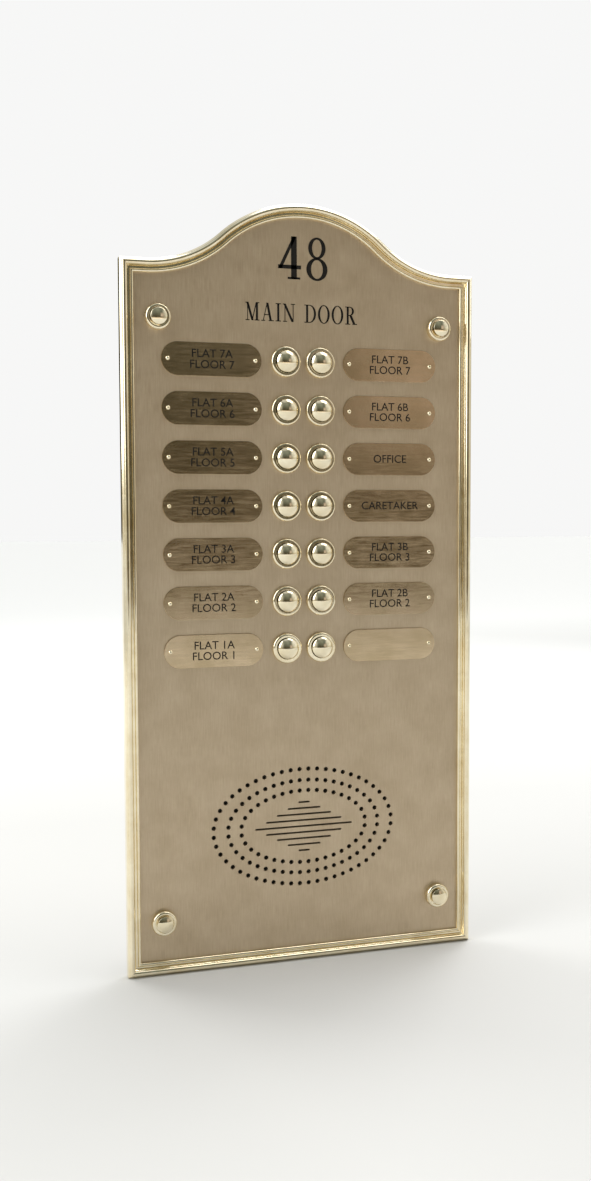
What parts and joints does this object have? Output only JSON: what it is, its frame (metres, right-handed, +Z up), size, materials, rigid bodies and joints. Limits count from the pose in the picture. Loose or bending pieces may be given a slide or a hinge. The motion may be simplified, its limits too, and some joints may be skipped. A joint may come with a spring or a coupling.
{
  "type": "door intercom panel",
  "caption": "Arched brass street panel with two columns of sprung bell pushes and name plates, and a speech unit behind a pierced grille.",
  "frame": {"origin": "centre of the four fixing screws' pattern, in the plane of the wall", "axes": "+X to the right seen from the street, +Y into the wall along the fixing screws, +Z up"},
  "size_m": [0.24, 0.0489, 0.5],
  "materials": {
    "satin_brass": "brushed",
    "polished_brass": "polished",
    "name_plate_brass": "polished",
    "raw_brass": "as turned",
    "spring_steel": "drawn wire",
    "spring_bronze": "rolled strip",
    "plated_steel": "zinc plated",
    "phenolic": "moulded",
    "black_rubber": "matt",
    "fine_gauze": "woven",
    "grey_plastic": "fine texture",
    "cone_paper": "coated",
    "magnet_iron": "ground",
    "capsule_aluminium": "satin",
    "board_green": "solder mask",
    "terminal_plastic": "moulded",
    "trimmer_plastic": "moulded",
    "wire_pvc": "extruded"
  },
  "bodies": {
    "panel": {"face_plate": "satin_brass", "frame_left": "polished_brass", "frame_right": "polished_brass", "frame_bottom": "polished_brass", "frame_top": "polished_brass", "name_plate_l1": "name_plate_brass", "name_plate_l2": "name_plate_brass", "name_plate_l3": "name_plate_brass", "name_plate_l4": "name_plate_brass", "name_plate_l5": "name_plate_brass", "name_plate_l6": "name_plate_brass", "name_plate_l7": "name_plate_brass", "name_plate_r1": "name_plate_brass", "name_plate_r2": "name_plate_brass", "name_plate_r3": "name_plate_brass", "name_plate_r4": "name_plate_brass", "name_plate_r5": "name_plate_brass", "name_plate_r6": "name_plate_brass", "name_plate_r7": "name_plate_brass", "name_plate_rivets": "polished_brass", "button_bushes": "polished_brass", "bush_nuts": "raw_brass", "button_springs": "spring_steel", "contact_carriers": "phenolic", "contact_blades": "spring_bronze", "fixed_contacts": "spring_bronze", "terminal_screws": "plated_steel", "common_bus": "raw_brass", "fixing_screws": "polished_brass", "fixing_collars": "polished_brass", "rear_gasket": "black_rubber", "frame_screws": "raw_brass", "grille_gauze": "fine_gauze", "speech_housing": "grey_plastic", "speech_cover": "grey_plastic", "unit_screws": "plated_steel", "speaker_basket": "plated_steel", "speaker_cone": "cone_paper", "speaker_magnet": "magnet_iron", "microphone": "capsule_aluminium", "microphone_boot": "black_rubber", "speech_board": "board_green", "terminal_block": "terminal_plastic", "call_wires": "wire_pvc"},
    "push_button_l1": {"push_button_l1": "polished_brass"},
    "push_button_l2": {"push_button_l2": "polished_brass"},
    "push_button_l3": {"push_button_l3": "polished_brass"},
    "push_button_l4": {"push_button_l4": "polished_brass"},
    "push_button_l5": {"push_button_l5": "polished_brass"},
    "push_button_l6": {"push_button_l6": "polished_brass"},
    "push_button_l7": {"push_button_l7": "polished_brass"},
    "push_button_r1": {"push_button_r1": "polished_brass"},
    "push_button_r2": {"push_button_r2": "polished_brass"},
    "push_button_r3": {"push_button_r3": "polished_brass"},
    "push_button_r4": {"push_button_r4": "polished_brass"},
    "push_button_r5": {"push_button_r5": "polished_brass"},
    "push_button_r6": {"push_button_r6": "polished_brass"},
    "push_button_r7": {"push_button_r7": "polished_brass"},
    "speaker_trimmer": {"speaker_trimmer": "trimmer_plastic"},
    "microphone_trimmer": {"microphone_trimmer": "trimmer_plastic"}
  },
  "joints": [
    {"name": "press_l1", "type": "slide", "parent": "panel", "child": "push_button_l1", "axis": [0, 1, 0], "range_m": [0, 0.002], "stiffness_N_per_m": 450, "springref_m": -0.003, "deforming": ["button_springs", "contact_blades"]},
    {"name": "press_l2", "type": "slide", "parent": "panel", "child": "push_button_l2", "axis": [0, 1, 0], "range_m": [0, 0.002], "stiffness_N_per_m": 450, "springref_m": -0.003, "deforming": ["button_springs", "contact_blades"]},
    {"name": "press_l3", "type": "slide", "parent": "panel", "child": "push_button_l3", "axis": [0, 1, 0], "range_m": [0, 0.002], "stiffness_N_per_m": 450, "springref_m": -0.003, "deforming": ["button_springs", "contact_blades"]},
    {"name": "press_l4", "type": "slide", "parent": "panel", "child": "push_button_l4", "axis": [0, 1, 0], "range_m": [0, 0.002], "stiffness_N_per_m": 450, "springref_m": -0.003, "deforming": ["button_springs", "contact_blades"]},
    {"name": "press_l5", "type": "slide", "parent": "panel", "child": "push_button_l5", "axis": [0, 1, 0], "range_m": [0, 0.002], "stiffness_N_per_m": 450, "springref_m": -0.003, "deforming": ["button_springs", "contact_blades"]},
    {"name": "press_l6", "type": "slide", "parent": "panel", "child": "push_button_l6", "axis": [0, 1, 0], "range_m": [0, 0.002], "stiffness_N_per_m": 450, "springref_m": -0.003, "deforming": ["button_springs", "contact_blades"]},
    {"name": "press_l7", "type": "slide", "parent": "panel", "child": "push_button_l7", "axis": [0, 1, 0], "range_m": [0, 0.002], "stiffness_N_per_m": 450, "springref_m": -0.003, "deforming": ["button_springs", "contact_blades"]},
    {"name": "press_r1", "type": "slide", "parent": "panel", "child": "push_button_r1", "axis": [0, 1, 0], "range_m": [0, 0.002], "stiffness_N_per_m": 450, "springref_m": -0.003, "deforming": ["button_springs", "contact_blades"]},
    {"name": "press_r2", "type": "slide", "parent": "panel", "child": "push_button_r2", "axis": [0, 1, 0], "range_m": [0, 0.002], "stiffness_N_per_m": 450, "springref_m": -0.003, "deforming": ["button_springs", "contact_blades"]},
    {"name": "press_r3", "type": "slide", "parent": "panel", "child": "push_button_r3", "axis": [0, 1, 0], "range_m": [0, 0.002], "stiffness_N_per_m": 450, "springref_m": -0.003, "deforming": ["button_springs", "contact_blades"]},
    {"name": "press_r4", "type": "slide", "parent": "panel", "child": "push_button_r4", "axis": [0, 1, 0], "range_m": [0, 0.002], "stiffness_N_per_m": 450, "springref_m": -0.003, "deforming": ["button_springs", "contact_blades"]},
    {"name": "press_r5", "type": "slide", "parent": "panel", "child": "push_button_r5", "axis": [0, 1, 0], "range_m": [0, 0.002], "stiffness_N_per_m": 450, "springref_m": -0.003, "deforming": ["button_springs", "contact_blades"]},
    {"name": "press_r6", "type": "slide", "parent": "panel", "child": "push_button_r6", "axis": [0, 1, 0], "range_m": [0, 0.002], "stiffness_N_per_m": 450, "springref_m": -0.003, "deforming": ["button_springs", "contact_blades"]},
    {"name": "press_r7", "type": "slide", "parent": "panel", "child": "push_button_r7", "axis": [0, 1, 0], "range_m": [0, 0.002], "stiffness_N_per_m": 450, "springref_m": -0.003, "deforming": ["button_springs", "contact_blades"]},
    {"name": "speaker_volume", "type": "hinge", "parent": "panel", "child": "speaker_trimmer", "pos_m": [-0.04, 0.0215, -0.159], "axis": [0, 1, 0], "range_deg": [-130, 130]},
    {"name": "microphone_volume", "type": "hinge", "parent": "panel", "child": "microphone_trimmer", "pos_m": [-0.028, 0.0215, -0.159], "axis": [0, 1, 0], "range_deg": [-130, 130]}
  ]
}
